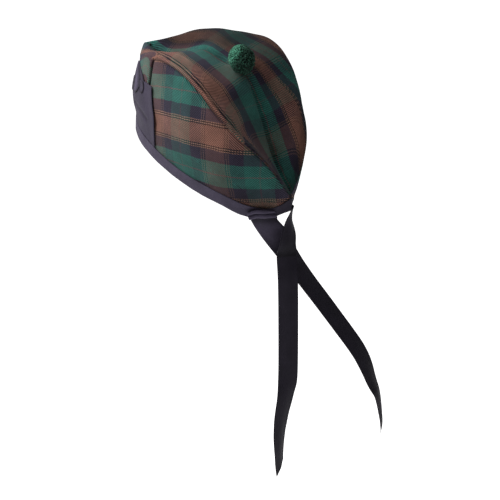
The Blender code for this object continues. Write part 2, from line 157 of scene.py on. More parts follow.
# The pompom: its yarn, its core and how it stands. Away from its lean the yarn is loose, which
# starts at a cosine and is full a span below it, and lumps show there. The core's shade is its
# place on the yarn's map of tone and depth.
YARN_COUNT = 2400
YARN_RADIUS = 0.00072
YARN_ROOT = 0.72
YARN_BATCH = 80
YARN_WANDER = 0.12
LOOSE_START = 0.75
LOOSE_SPAN = 0.5
LUMP_SCALE = 2.6
LUMP_RISE = 0.08
CORE_SIZE = 0.80
CORE_SHADE = (0.3, 0.15)
POMPOM_SIZE = 0.99
POMPOM_STRETCH = 1.14
POMPOM_STAND = Vector((-0.087, -0.465, 0.822))
POMPOM_LEAN = Vector((0.51, -0.61, 0.60))
POMPOM_SHIFT = Vector((0.0020, -0.0026, -0.0030))

# The cloth's repeat, half of it from the green's centre to the brown's, and the places on it
# where the crown's stripes are read. The stripes across the cap are drawn at their own scale.
HALF_SETT = 0.0408
WARP_SCALE = 0.873
WARP_START = 0.0075
GREEN_END = 0.0136
DARK_MIDDLE = 0.0200
LINES_MIDDLE = 0.0290
LINES_START = 0.0310

# Beyond the crown's brown the cloth turns back after this much, so that three dark lines run
# beside the roll. They are drawn wider than real, to show at the picture's size. The front strip
# has a scale of its own.
LINES_HALF = 0.0031
LINES_SPREAD = 2.0
STRIP_SCALE = 1.4

# How the cloth lies on a side panel: its slant, its bow about a middle, where its warp starts and
# how high the middle of its brown lies
PANEL_SLANT = math.radians(15.0)
PANEL_BOW = 1.1
PANEL_BOW_MIDDLE = 0.010
PANEL_WARP_START = 0.0195
PANEL_BROWN_LEVEL = 0.0625

# The repeat of threads from the green's centre (0) to the brown's centre (1), in millimetres of
# half a repeat, and each thread group's colour. Neighbours blend over twice the blur, and the
# stripes waver by up to half of theirs.
Thread = namedtuple("Thread", "start_mm end_mm colour")
STRIPE_BLUR_MM = 0.25
STRIPE_WAVER_MM = 2.2
SETT = [
    Thread(0.0, 0.7, "#4e4644"),
    Thread(0.7, 13.6, "#22524b"),
    Thread(13.6, 26.3, "#25202f"),
    Thread(26.3, 27.3, "#705348"),
    Thread(27.3, 28.5, "#0e090d"),
    Thread(28.5, 29.5, "#7d5f52"),
    Thread(29.5, 30.7, "#0e090d"),
    Thread(30.7, 40.8, "#6e4b40"),
]

# What is left of the colour where the painted shade is deepest, and how much brighter it is where the
# painted highlight is strongest
PAINTED_LIGHT_RANGE = (0.28, 1.72)

# The twill's wale and the ribbon's ribs, both coarser than real, to show at the picture's size
WALE = 0.0024
RIB = 0.0012

# Sections of the cap from its front to its back, as shares of its sizes: the rim, its swell and
# the seam of a side wall, and then the crown's fold on each side and its crease
Wall = namedtuple("Wall", "rim_x rim_y rim_z swell seam_x seam_y seam_z")
WALLS = [
    Wall(0.00, -1.00, 0.03, 0.00, 0.00, -1.06, 0.57),
    Wall(0.34, -0.82, 0.03, 0.02, 0.37, -0.87, 0.66),
    Wall(0.65, -0.58, 0.04, 0.06, 0.71, -0.57, 0.79),
    Wall(0.87, -0.28, 0.04, 0.10, 0.87, -0.21, 0.83),
    Wall(0.98, 0.03, 0.03, 0.13, 0.97, 0.11, 0.78),
    Wall(1.00, 0.31, 0.02, 0.11, 0.98, 0.38, 0.68),
    Wall(0.90, 0.56, 0.00, 0.10, 0.89, 0.60, 0.58),
    Wall(0.65, 0.72, -0.06, 0.05, 0.61, 0.80, 0.44),
    Wall(0.32, 0.86, -0.08, 0.02, 0.27, 0.92, 0.26),
    Wall(0.00, 0.99, 0.00, 0.00, 0.00, 0.96, 0.12),
]

Fold = namedtuple("Fold", "left_x left_y left_z right_x right_y right_z crease_x crease_y crease_z")
FOLDS = [
    Fold(0.00, -1.03, 0.68, 0.00, -1.03, 0.68, 0.00, -0.97, 0.69),
    Fold(0.26, -0.82, 0.71, -0.32, -0.79, 0.79, -0.03, -0.81, 0.66),
    Fold(0.42, -0.61, 0.79, -0.52, -0.57, 0.90, -0.06, -0.61, 0.72),
    Fold(0.52, -0.33, 0.86, -0.69, -0.26, 0.98, -0.06, -0.36, 0.86),
    Fold(0.55, -0.04, 0.84, -0.87, 0.03, 1.00, -0.08, -0.08, 0.85),
    Fold(0.61, 0.23, 0.74, -0.95, 0.28, 0.90, -0.13, 0.19, 0.81),
    Fold(0.58, 0.43, 0.63, -0.84, 0.49, 0.72, -0.13, 0.40, 0.61),
    Fold(0.45, 0.64, 0.48, -0.56, 0.67, 0.51, -0.08, 0.57, 0.43),
    Fold(0.19, 0.82, 0.29, -0.23, 0.84, 0.30, -0.03, 0.75, 0.26),
    Fold(0.00, 0.96, 0.12, 0.00, 0.96, 0.12, 0.00, 0.96, 0.12),
]

# How far the cockade's flat ribbon bulges over the front edge, in millimetres, at even steps from
# its foot to its top
BULGES = [[0.0], [0.6], [3.0], [4.6], [4.4], [3.4]]

# The bow from its tips upwards: where it starts and ends, in steps of the side, and how far it
# stands out at its fullest, in millimetres
Bow = namedtuple("Bow", "start end proud")
BOWS = [
    Bow(1.0, 4.9, 5.2),
    Bow(0.9, 5.3, 5.2),
    Bow(0.8, 5.4, 4.8),
    Bow(0.8, 5.1, 4.2),
    Bow(0.9, 4.6, 3.5),
    Bow(1.0, 3.9, 2.7),
    Bow(1.1, 3.3, 1.9),
    Bow(1.3, 2.8, 0.9),
]

# Folds of the cockade's ribbon, each a line across it: shares across and up at its foot and its
# head, its depth and how wide it opens
Crease = namedtuple("Crease", "foot_across foot_up head_across head_up depth width")
PATCH_CREASE = Crease(0.30, 0.44, 0.80, 0.34, 0.0010, 0.03)
BOW_CREASES = [
    Crease(0.45, 0.00, 0.42, 1.00, 0.0026, 0.055),
    Crease(0.80, 0.00, 0.84, 0.92, 0.0026, 0.050),
]

# A tail's hanging stretch: places across, toward the wearer's left rear and down, as shares of
# the tail's length, and the turn of its width in degrees
Hang = namedtuple("Hang", "across toward down turn")
LEFT_HANG = [
    Hang(0.000, 0.000, 0.000, 0),
    Hang(0.040, -0.020, 0.064, 15),
    Hang(0.084, -0.047, 0.143, 25),
    Hang(0.146, -0.060, 0.241, 38),
    Hang(0.260, -0.067, 0.408, 40),
    Hang(0.370, -0.067, 0.572, 42),
    Hang(0.421, -0.060, 0.696, 62),
    Hang(0.441, -0.057, 0.740, 72),
    Hang(0.453, -0.057, 0.799, 76),
    Hang(0.461, -0.057, 0.849, 80),
    Hang(0.463, -0.057, 0.889, 82),
]
RIGHT_HANG = [
    Hang(0.000, 0.000, 0.000, 88),
    Hang(-0.008, 0.046, 0.056, 50),
    Hang(-0.015, 0.058, 0.101, 32),
    Hang(-0.018, 0.044, 0.143, 12),
    Hang(-0.013, 0.062, 0.231, 4),
    Hang(-0.010, 0.066, 0.416, 2),
    Hang(-0.009, 0.066, 0.595, 5),
    Hang(-0.014, 0.066, 0.664, 28),
    Hang(-0.029, 0.066, 0.768, 42),
    Hang(-0.035, 0.066, 0.847, 54),
    Hang(-0.035, 0.066, 0.928, 65),
    Hang(-0.031, 0.066, 0.983, 68),
]

# How the crown's cloth lies, at even steps along its crease. On the left, how far out from the
# crease its green ends, its inner pair of lines runs and its brown ends, in millimetres; on the
# right, its stripes' scale. Shift is how far the middle of the green is drawn to the left, in
# millimetres.
Lay = namedtuple("Lay", "green lines brown right shift")
LAY_REACH = 0.250
LAYS = [
    Lay(2.0, 16.0, 17.5, 1.30, 0),
    Lay(10.0, 18.0, 29.0, 1.60, 0),
    Lay(12.0, 24.0, 40.0, 1.55, 0),
    Lay(20.0, 36.0, 52.0, 2.25, 0),
    Lay(23.5, 38.0, 58.0, 2.20, 1),
    Lay(25.0, 38.0, 61.0, 1.85, -1),
    Lay(22.5, 38.0, 60.0, 1.35, -4),
    Lay(22.0, 50.0, 80.0, 1.17, -5),
    Lay(14.0, 34.0, 60.0, 1.10, -3),
]


def spline(before, start, end, after, t):
    """Points t of the way from start to end on a smooth curve through all four."""
    slope = 0.5 * (end - before)
    bend = 0.5 * (2 * before - 5 * start + 4 * end - after)
    twist = 0.5 * (3 * start - before - 3 * end + after)
    return start + slope * t + bend * t ** 2 + twist * t ** 3


def between(rows, share):
    """The values at shares (0 to 1) of the way along evenly spaced rows, smoothly joined."""
    rows = np.asarray(rows, float)
    last = len(rows) - 1
    place = np.clip(share, 0.0, 1.0) * last
    index = np.minimum(place.astype(int), last - 1)
    padded = np.vstack([2 * rows[0] - rows[1], rows, 2 * rows[-1] - rows[-2]])
    return spline(*(padded[index + k] for k in range(4)), (place - index)[..., None])


def place_of(x, y, z):
    """Shares of the cap's three sizes as a point in metres."""
    return np.array([x * HALF_WIDTH, y * HALF_LENGTH, z * CROWN_HEIGHT])


RIM_LINE = [place_of(w.rim_x, w.rim_y, w.rim_z) for w in WALLS]
SEAM_LINE = [place_of(w.seam_x, w.seam_y, w.seam_z) for w in WALLS]
SWELL_LINE = [[w.swell * HALF_WIDTH] for w in WALLS]
FOLD_LINES = {
    LEFT: [place_of(f.left_x, f.left_y, f.left_z) for f in FOLDS],
    RIGHT: [place_of(f.right_x, f.right_y, f.right_z) for f in FOLDS],
}
CREASE_LINE = [place_of(f.crease_x, f.crease_y, f.crease_z) for f in FOLDS]


def smooth(share):
    """An even ease from 0 to 1."""
    t = np.clip(share, 0.0, 1.0)
    return t * t * (3 - 2 * t)


def rising(value, start, span):
    """Eases from 0 at the start to 1 a span further on."""
    return smooth((value - start) / span)


def bell(distance, middle, width):
    """A soft rise of one around a middle."""
    return np.exp(-((distance - middle) / width) ** 2)


def unit(vectors):
    """The vectors at a length of one."""
    return vectors / np.linalg.norm(vectors, axis=-1, keepdims=True)


def side_points(half, station, height):
    """Points of a side wall's outer face: height runs from the rim (0) to the seam (1)."""
    lean = np.sin(np.pi * np.minimum(station / STRIP_END, 1.0)) ** 2
    along = station + STRIP_SKEW * (1 - height) * lean
    rim, seam = between(RIM_LINE, along), between(SEAM_LINE, along)
    ahead = between(RIM_LINE, along + 0.01) - between(RIM_LINE, along - 0.01)
    outward = np.stack([ahead[..., 1], -ahead[..., 0], 0 * ahead[..., 0]], -1)
    outward /= np.hypot(ahead[..., 0], ahead[..., 1])[..., None]
    swell = between(SWELL_LINE, along) * np.sin(np.pi * height)[..., None]
    points = rim + (seam - rim) * height[..., None] + outward * swell
    return points * np.array([half, 1, 1])


def crown_points(half, station, inward):
    """Points of the crown's outer face: inward runs from the seam (0) to the crease (1)."""
    seam = between(SEAM_LINE, station) * np.array([half, 1, 1])
    fold = between(FOLD_LINES[half], station)
    crease = between(CREASE_LINE, station)
    t = inward[..., None]
    first, final = 2 * seam - fold, 2 * crease - fold
    lower = t < 0.5
    before, start = np.where(lower, first, seam), np.where(lower, seam, fold)
    end, after = np.where(lower, fold, crease), np.where(lower, crease, final)
    return spline(before, start, end, after, np.where(lower, t * 2, t * 2 - 1))


def lattice(steps, low=(0.0, 0.0), high=(1.0, 1.0)):
    """Two grids of shares, along and across, evenly spaced between low and high."""
    spans = [np.linspace(low[k], high[k], steps[k] + 1) for k in (0, 1)]
    return np.meshgrid(*spans, indexing="ij")


def pitched(points):
    """Points of the level cap, moved with the front up."""
    return points @ np.array(Matrix.Rotation(-PITCH, 3, "X")).T


def run_along(points, axis):
    """The distance walked along a grid of points in one direction."""
    steps = np.linalg.norm(np.diff(points, axis=axis), axis=-1)
    start = np.zeros_like(np.take(steps, [0], axis))
    return np.concatenate([start, np.cumsum(steps, axis)], axis)


def rumple(points, size, depth, seed):
    """Soft unevenness of worked cloth: how far each point rises."""
    flat = points.reshape(-1, 3) / size + seed
    values = [noise.noise(Vector(point)) + 0.5 * noise.noise(Vector(point * 2.1)) for point in flat]
    return np.array(values).reshape(points.shape[:-1]) * depth


def layer(layers, name):
    """A mesh's layer of values by its name, made where it isn't there yet."""
    return layers.get(name) or layers.new(name)


def add_sheet(bm, points, cloth, lift, painted_light, thread=None, flip=False):
    """A grid moved onto a surface: its points, its place on the cloth, how far it rises, its painted
    light (a painted highlight above 0, painted shade below 0), and its place among the threads where
    these run straighter than the stripes."""
    thread = cloth if thread is None else thread
    rows, columns = points.shape[0] - 1, points.shape[1] - 1
    before = len(bm.verts)
    bmesh.ops.create_grid(bm, x_segments=rows, y_segments=columns, size=0.5)
    uv_layer = layer(bm.loops.layers.uv, "cloth")
    thread_layer = layer(bm.loops.layers.uv, "thread")
    lift_layer = layer(bm.verts.layers.float, "lift")
    painted_light_layer = layer(bm.verts.layers.float, "painted_light")
    bm.verts.ensure_lookup_table()
    faces = set()
    seat = {}
    for vert in bm.verts[before:]:
        seat[vert] = round((vert.co.x + 0.5) * rows), round((vert.co.y + 0.5) * columns)
        faces.update(vert.link_faces)
    for vert, place in seat.items():
        vert.co = points[place]
        vert[lift_layer] = lift[place]
        vert[painted_light_layer] = painted_light[place]
    for face in faces:
        face.smooth = True
        for loop in face.loops:
            loop[uv_layer].uv = cloth[seat[loop.vert]]
            loop[thread_layer].uv = thread[seat[loop.vert]]
    if flip:
        bmesh.ops.reverse_faces(bm, faces=list(faces))


def rise(bm):
    """Moves each point out along its normal by its own lift."""
    bm.normal_update()
    lift_layer = bm.verts.layers.float["lift"]
    moves = [vert.normal * vert[lift_layer] for vert in bm.verts]
    for vert, move in zip(bm.verts, moves):
        vert.co += move


def mesh_from(bm, name):
    """A mesh with what was built, whose working copy is freed."""
    mesh = bpy.data.meshes.new(name)
    bm.to_mesh(mesh)
    bm.free()
    return mesh


def add_object(name, data):
    """An object in the scene for a mesh, a lamp or a camera."""
    thing = bpy.data.objects.new(name, data)
    bpy.context.scene.collection.objects.link(thing)
    return thing


def add_piece(name, bm, material, node, wall=None):
    """A finished piece in the scene that stands for its solid and rides with it."""
    mesh = mesh_from(bm, name)
    mesh.materials.append(material)
    piece = add_object(name, mesh)
    if wall:
        thickness = piece.modifiers.new("wall", "SOLIDIFY")
        thickness.thickness = wall
        thickness.offset = -1.0
    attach(piece, "root")
    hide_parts(node)
    return piece


def add_ribbon(name, node, wall, points, cloth, lift, painted_light):
    """A finished piece of ribbon from one grid."""
    bm = bmesh.new()
    add_sheet(bm, points, cloth, lift, painted_light)
    rise(bm)
    return add_piece(name, bm, RIBBON, node, wall)


def linear(hex_colour):
    """An sRGB hex colour as linear red, green, blue and alpha."""
    values = [int(hex_colour[k:k + 2], 16) / 255 for k in (1, 3, 5)]
    return [v / 12.92 if v <= 0.04045 else ((v + 0.055) / 1.055) ** 2.4 for v in values] + [1.0]


def put(tree, kind, inputs=None, **settings):
    """A node with its settings and with its inputs given values or linked."""
    node = tree.nodes.new(kind)
    for name, value in settings.items():
        setattr(node, name, value)
    for key, value in (inputs or {}).items():
        if isinstance(value, bpy.types.NodeSocket):
            tree.links.new(value, node.inputs[key])
        else:
            node.inputs[key].default_value = value
    return node


def reckon(tree, operation, *values):
    """The result of an operation on one to three numbers."""
    return put(tree, "ShaderNodeMath", dict(enumerate(values)), operation=operation).outputs[0]


def scaled(tree, vector, share):
    """The vector, or the colour, times a number."""
    return put(tree, "ShaderNodeVectorMath", {0: vector, 3: share}, operation="SCALE").outputs[0]


def remapped(tree, value, old, new, ease="LINEAR"):
    """The value moved from one range to another."""
    limits = {0: value, 1: old[0], 2: old[1], 3: new[0], 4: new[1]}
    return put(tree, "ShaderNodeMapRange", limits, interpolation_type=ease).outputs[0]


def mixed(tree, share, first, second):
    """A mix of two colours."""
    return put(tree, "ShaderNodeMix", {0: share, 6: first, 7: second}, data_type="RGBA").outputs[2]


def in_mm(tree, uv_map):
    """The place on a UV map, which is laid out in metres, in millimetres."""
    return scaled(tree, put(tree, "ShaderNodeUVMap", uv_map=uv_map).outputs[0], MM)


def speckle(tree, vector, scale, detail, roughness=0.5):
    """A node of cloudy noise at a place."""
    return put(tree, "ShaderNodeTexNoise", {"Vector": vector, "Scale": scale, "Detail": detail,
                                            "Roughness": roughness})


def new_material(name, finish):
    """A material, its tree and its shader, whose inputs have the values of the finish."""
    material = bpy.data.materials.new(name)
    material.use_nodes = True
    shader = material.node_tree.nodes["Principled BSDF"]
    for key, value in finish.items():
        shader.inputs[key].default_value = value
    return material, material.node_tree, shader


def add_bump(tree, shader, height, strength, distance):
    """Raises the surface a little where the height is more."""
    bump = put(tree, "ShaderNodeBump", {"Strength": strength, "Distance": distance, "Height": height})
    tree.links.new(bump.outputs[0], shader.inputs["Normal"])


def with_painted_light(tree, colour):
    """The colour with its painted light: darker where painted shade lies and paler where a painted
    highlight lies.
    """
    painted_light = put(tree, "ShaderNodeAttribute", attribute_name="painted_light")
    return scaled(tree, colour, remapped(tree, painted_light.outputs["Fac"], (-1.0, 1.0), PAINTED_LIGHT_RANGE))


def sett_colour(tree, distance_mm):
    """The thread colour at a distance across the cloth."""
    half = HALF_SETT * MM
    folded = reckon(tree, "PINGPONG", distance_mm, half)
    ramp = put(tree, "ShaderNodeValToRGB", {0: reckon(tree, "DIVIDE", folded, half)})
    elements = ramp.color_ramp.elements
    elements.remove(elements[-1])
    elements[0].color = linear(SETT[0].colour)
    for thread in SETT:
        start = thread.start_mm + STRIPE_BLUR_MM
        end = thread.end_mm - (STRIPE_BLUR_MM if thread.end_mm < half else 0)
        for place in ([start, end] if thread.start_mm else [end]):
            elements.new(place / half).color = linear(thread.colour)
    return ramp.outputs[0]


def tartan_wool():
    """Worsted wool twill, woven 2 over 2 under and lightly milled: a fine diagonal wale, soft
    hairy surface and no gloss, with stripes that mix where they cross."""
    material, tree, shader = new_material("worsted_wool_twill", {
        "Roughness": 0.92, "IOR": 1.5, "Specular IOR Level": 0.12, "Sheen Weight": 0.04,
        "Sheen Roughness": 0.6})
    cloth, threads = in_mm(tree, "cloth"), in_mm(tree, "thread")

    # The stripes waver a little, and their warp and weft show by turns along the wale
    waver = speckle(tree, cloth, 0.09, 2.0)
    centred = put(tree, "ShaderNodeVectorMath", {0: waver.outputs["Color"], 1: (0.5, 0.5, 0.5)},
                  operation="SUBTRACT")
    drift = scaled(tree, centred.outputs[0], STRIPE_WAVER_MM)
    moved = put(tree, "ShaderNodeVectorMath", {0: cloth, 1: drift}, operation="ADD")
    axes = put(tree, "ShaderNodeSeparateXYZ", {0: moved.outputs[0]})
    ends = put(tree, "ShaderNodeSeparateXYZ", {0: threads})
    warp, weft = (sett_colour(tree, axes.outputs[k]) for k in (0, 1))
    half_wale = WALE * MM / 2
    diagonal = reckon(tree, "ADD", ends.outputs[0], ends.outputs[1])
    wale = reckon(tree, "PINGPONG", diagonal, half_wale)
    over = remapped(tree, wale, (0.3, half_wale - 0.3), (0.26, 0.96), "SMOOTHSTEP")

    # Tone: single hairs and broad clouds of the milling; and painted shade in the dip between two
    # wales, with a painted highlight on their crests
    fibre = speckle(tree, threads, 0.9, 4.0, 0.7)
    cloud = speckle(tree, cloth, 0.05, 3.0)
    fibre_tone = remapped(tree, fibre.outputs["Fac"], (0.25, 0.75), (0.68, 1.34))
    cloud_tone = remapped(tree, cloud.outputs["Fac"], (0.3, 0.7), (0.76, 1.14))
    dip = remapped(tree, wale, (0.1, half_wale - 0.1), (0.44, 1.38), "SMOOTHSTEP")
    tone_and_painted_wale_light = reckon(tree, "MULTIPLY", reckon(tree, "MULTIPLY", fibre_tone, cloud_tone), dip)
    toned = scaled(tree, mixed(tree, over, warp, weft), tone_and_painted_wale_light)
    tree.links.new(with_painted_light(tree, toned), shader.inputs["Base Color"])

    height = reckon(tree, "MULTIPLY_ADD", dip, 1.4, fibre.outputs["Fac"])
    add_bump(tree, shader, height, strength=0.55, distance=0.0004)
    return material


def grosgrain():
    """Rayon and cotton grosgrain, close ribs across its width: a dull dark ribbon with a faint grey
    sheen and fine lines that show mostly at its edges, and painted shade that darkens its hanging
    ends."""
    material, tree, shader = new_material("grosgrain_ribbon_dark", {
        "Roughness": 0.68, "IOR": 1.5, "Specular IOR Level": 0.08, "Sheen Weight": 0.01,
        "Sheen Roughness": 0.5})
    cloth = in_mm(tree, "cloth")
    axes = put(tree, "ShaderNodeSeparateXYZ", {0: cloth})
    half_rib = RIB * MM / 2
    rib = reckon(tree, "DIVIDE", reckon(tree, "PINGPONG", axes.outputs[0], half_rib), half_rib)
    thread = speckle(tree, cloth, 1.4, 3.0)
    cloud = speckle(tree, cloth, 0.06, 3.0)
    shade = reckon(tree, "MULTIPLY_ADD", rib, 0.25, thread.outputs["Fac"])
    both = reckon(tree, "ADD", shade, cloud.outputs["Fac"])
    depth = remapped(tree, both, (0.7, 1.5), (0.0, 1.0))
    colour = mixed(tree, depth, linear("#302c38"), linear("#443e4f"))

    # Under the band, from 35 to 90 mm below the origin, the colour darkens more and more: painted
    # shade on the hanging ends
    where = put(tree, "ShaderNodeTexCoord")
    level = put(tree, "ShaderNodeSeparateXYZ", {0: where.outputs["Object"]})
    hanging_painted_shade = remapped(tree, level.outputs[2], (-0.09, -0.035), (0.27, 1.0), "SMOOTHSTEP")
    tree.links.new(with_painted_light(tree, scaled(tree, colour, hanging_painted_shade)), shader.inputs["Base Color"])

    height = reckon(tree, "MULTIPLY_ADD", rib, 1.0, thread.outputs["Fac"])
    add_bump(tree, shader, height, strength=0.4, distance=0.0002)
    return material


def pompom_wool():
    """Cut ends of dyed wool yarn: a deep green pile whose ends each have their own tone, with painted
    shade that turns it almost black towards the roots between the ends and darkens its loose side."""
    material, tree, shader = new_material("cut_wool_yarn_green", {
        "Roughness": 0.95, "IOR": 1.5, "Specular IOR Level": 0.1, "Sheen Weight": 0.1,
        "Sheen Roughness": 0.5})
    place = put(tree, "ShaderNodeUVMap", uv_map="cloth")
    axes = put(tree, "ShaderNodeSeparateXYZ", {0: place.outputs[0]})
    # Painted shade: the green turns near black towards the roots, and the ends' tone carries painted
    # shade on the loose side
    pile_with_painted_root_shade = mixed(tree, axes.outputs[1], linear("#010504"), linear("#3a705b"))
    tone_and_painted_shade = remapped(tree, axes.outputs[0], (0.0, 1.0), (0.18, 1.6))
    tree.links.new(scaled(tree, pile_with_painted_root_shade, tone_and_painted_shade), shader.inputs["Base Color"])
    return material


def rounded_corner(half, station, height):
    """Stations and heights of a side panel, moved so that its upper front corner is round."""
    step = 0.01
    here = np.array([HOOK_STATION]), np.array([1.0])
    corner = side_points(half, *here)[0]
    along = side_points(half, here[0] + step, here[1])[0]
    below = side_points(half, here[0], here[1] - step)[0]
    per_station = np.linalg.norm(along - corner) / step
    per_height = np.linalg.norm(below - corner) / step
    a = HOOK_RADIUS - (station - HOOK_STATION) * per_station
    b = HOOK_RADIUS - (1 - height) * per_height
    inside = (a > 0) & (b > 0)
    scale = np.where(inside, np.maximum(a, b) / np.maximum(np.hypot(a, b), 1e-9), 1.0)
    new_station = HOOK_STATION + (HOOK_RADIUS - a * scale) / per_station
    new_height = 1 - (HOOK_RADIUS - b * scale) / per_height
    return np.where(inside, new_station, station), np.where(inside, new_height, height)


def panel_cloth(points):
    """Where each point of a side panel lies on the tartan, which is laid on it with a slant."""
    walked = run_along(points * np.array([1, 1, 0]), 0)
    middle = np.abs(points[..., 1]).argmin(0)
    arc = walked - np.take_along_axis(walked, middle[None], 0)
    z = points[..., 2]
    bowed = PANEL_BOW * (arc - PANEL_BOW_MIDDLE) ** 2
    weft = z * math.cos(PANEL_SLANT) - arc * math.sin(PANEL_SLANT) + bowed
    warp = arc * math.cos(PANEL_SLANT) + z * math.sin(PANEL_SLANT)
    weft = weft - PANEL_BROWN_LEVEL + HALF_SETT
    return np.stack([(warp - PANEL_WARP_START) * WARP_SCALE, weft], -1)


def seam_line(half):
    """The sewn line of a side: up the front strip's edge, round its hook and back along the top."""
    up = np.linspace(0.0, 1.0, 140)
    back = np.linspace(HOOK_STATION, 1.0, 360)
    station = np.concatenate([np.full(len(up), HOOK_STATION), back])
    height = np.concatenate([up, np.ones(len(back))])
    return side_points(half, *rounded_corner(half, station, height))


def seam_gap(points, half):
    """How far each point lies from its side's sewn line, worked out a block at a time."""
    line = seam_line(half)
    blocks = np.array_split(points.reshape(-1, 3), 40)
    nearest = [np.linalg.norm(block[:, None] - line[None], axis=-1).min(1) for block in blocks]
    return np.concatenate(nearest).reshape(points.shape[:-1])


def rolled_edge(gap):
    """The crown's edge: it dives into the seam, rolls over its turned-in cloth and ends in a
    stitched groove."""
    crest = rising(gap, 0.0, 0.0022) * (1 - rising(gap, ROLL_SPAN * 0.55, ROLL_SPAN * 0.45))
    groove = GROOVE_DEPTH * bell(gap, GROOVE_PLACE, GROOVE_WIDTH)
    return ROLL_RISE * crest - SEAM_DIP * bell(gap, 0.0, SEAM_DIP_WIDTH) - groove


def seam_painted_light(gap):
    """Painted light along a seam: painted shade deep in its grooves and a faint painted highlight on
    its roll.
    """
    roll_highlight = 0.08 * bell(gap, ROLL_SPAN * 0.45, 0.0014)
    groove_shade = 0.6 * bell(gap, GROOVE_PLACE, 0.0008)
    return roll_highlight - 0.9 * bell(gap, 0.0, SEAM_DIP_WIDTH) - groove_shade


def side_panel(half, name, node):
    """A side panel from the hook's seam to the back, with its top edge drawn down into the seam."""
    station, height = lattice(PANEL_GRID, (HOOK_STATION, 0.0))
    points = side_points(half, *rounded_corner(half, station, height))
    gap = seam_gap(points, half)
    drawn = 0.45 + 0.55 * rising(station, HOOK_STATION + 0.01, 0.05)
    lift = -TUCK_DEPTH * bell(gap, 0.0, TUCK_WIDTH) * drawn
    lift += rumple(points, size=0.035, depth=0.0008, seed=3.1) * rising(gap, 0.0, 0.015)
    # Painted shade along the seam, where the crown's roll overhangs the panel, and over the panel's
    # lower part, deeper towards the back
    low_shade = (0.34 + 0.46 * rising(station, 0.62, 0.25)) * (1 - rising(height, 0.0, 0.62))
    painted_light = -0.6 * bell(gap, 0.0, 0.0024) * drawn - low_shade
    bm = bmesh.new()
    add_sheet(bm, pitched(points), panel_cloth(points), lift, painted_light, flip=half == RIGHT)
    bmesh.ops.remove_doubles(bm, verts=bm.verts[:], dist=0.00002)
    rise(bm)
    add_piece(name, bm, TARTAN, node, CLOTH_WALL)


def crown_walk(half, station, points):
    """True distances on the crown: back along its crease and out from it."""
    out = run_along(points[:, ::-1], 1)[:, ::-1]
    steps = np.linspace(0, 1, 400)
    crease = crown_points(half, steps, np.ones(len(steps)))
    walked = run_along(crease[:, None], 0)[:, 0]
    return np.interp(station, steps, walked), out


def crown_cloth(half, back, out):
    """Where the crown's points lie on the tartan, whose strong stripes run along the cap."""
    green, lines, brown, right, shift = np.moveaxis(between(LAYS, back / LAY_REACH), -1, 0)
    shift = shift / MM
    warp = (back + WARP_START) * WARP_SCALE
    if half == RIGHT:
        return np.stack([warp, -out * right - shift], -1)
    ends = [0.0, GREEN_END, LINES_MIDDLE, 2 * HALF_SETT - LINES_START]
    outs = [0 * out, green / MM, lines / MM, brown / MM]
    weft = -shift * (1 - np.clip(out / outs[1], 0.0, 1.0))
    for k in range(3):
        share = (out - outs[k]) / (outs[k + 1] - outs[k])
        weft = weft + np.clip(share, 0.0, 1.0) * (ends[k + 1] - ends[k])
    past = np.maximum(out - outs[3], 0.0)
    folded = LINES_HALF - np.abs(past / LINES_SPREAD - LINES_HALF)
    onward = STRIP_SCALE * past
    return np.stack([warp, weft + onward + (folded - onward) * rising(back, 0.030, 0.02)], -1)


def hooked(half, station, points):
    """The crown's points, with its edge moved onto the seam's round hook."""
    edge = np.clip(station[:, 0], HOOK_STATION, 1.0), np.ones(len(station))
    straight = side_points(half, *edge)
    moved = side_points(half, *rounded_corner(half, *edge))
    ahead = np.linalg.norm(points[:, 0] - straight[0], axis=-1) * (station[:, 0] < HOOK_STATION)
    shift = (moved - straight) * (1 - smooth(ahead / HOOK_REACH))[:, None]
    reach = np.linalg.norm(points - points[:, :1], axis=-1)
    return points + shift[:, None] * (1 - smooth(reach / HOOK_REACH))[..., None]


def crown_top(bm, half):
    """Half the crown from the seam that joins it to the panel, where it is rolled, to its crease."""
    station, inward = lattice(CROWN_GRID)
    points = crown_points(half, station, inward)
    back, out = crown_walk(half, station, points)
    cloth = crown_cloth(half, back, out)
    thread = np.stack([back, half * out], -1)
    points = hooked(half, station, points)
    gap = seam_gap(points, half)
    if half == LEFT:
        dark = rising(station, ROLL_DARK, 0.03)
        turned_in = HALF_SETT + (DARK_MIDDLE - HALF_SETT) * dark
        cloth[..., 1] = np.where(gap < ROLL_SPAN + DARK_SPREAD * dark, turned_in, cloth[..., 1])
    rolled = 1 - ROLL_LOSS * rising(station, ROLL_FADE, ROLL_FADE_SPAN)
    held = rising(station, 0.0, CREASE_FADE) * (1 - rising(station, CREASE_END, CREASE_FADE))
    lift = rolled_edge(gap) * rolled - CREASE_DEPTH * bell(out, 0.0, CREASE_WIDTH) * held
    lift += rumple(points, size=0.045, depth=0.0018, seed=7.7) * rising(gap, 0.0, 0.02)
    # Painted light along the seam, painted shade along the crease, and more painted shade beside the
    # seam towards the back
    painted_light = seam_painted_light(gap) * rolled - 0.4 * bell(out, 0.0, 0.0020) * held
    painted_light -= 0.75 * rising(station, ROLL_DARK, 0.04) * bell(gap, 0.0, 0.009)
    # On the left, painted light all over and a painted highlight along the fold's crest; on the
    # right, painted shade over the front away from the crease
    if half == LEFT:
        ridge = bell(inward, 0.5, 0.012) * bell(station, 0.24, 0.16)
        painted_light += 0.10 + 0.5 * ridge
    else:
        painted_light -= 1.1 * (1 - rising(back, 0.08, 0.10)) * rising(out, 0.004, 0.016)
    add_sheet(bm, pitched(points), cloth, lift, painted_light, thread, flip=half == LEFT)


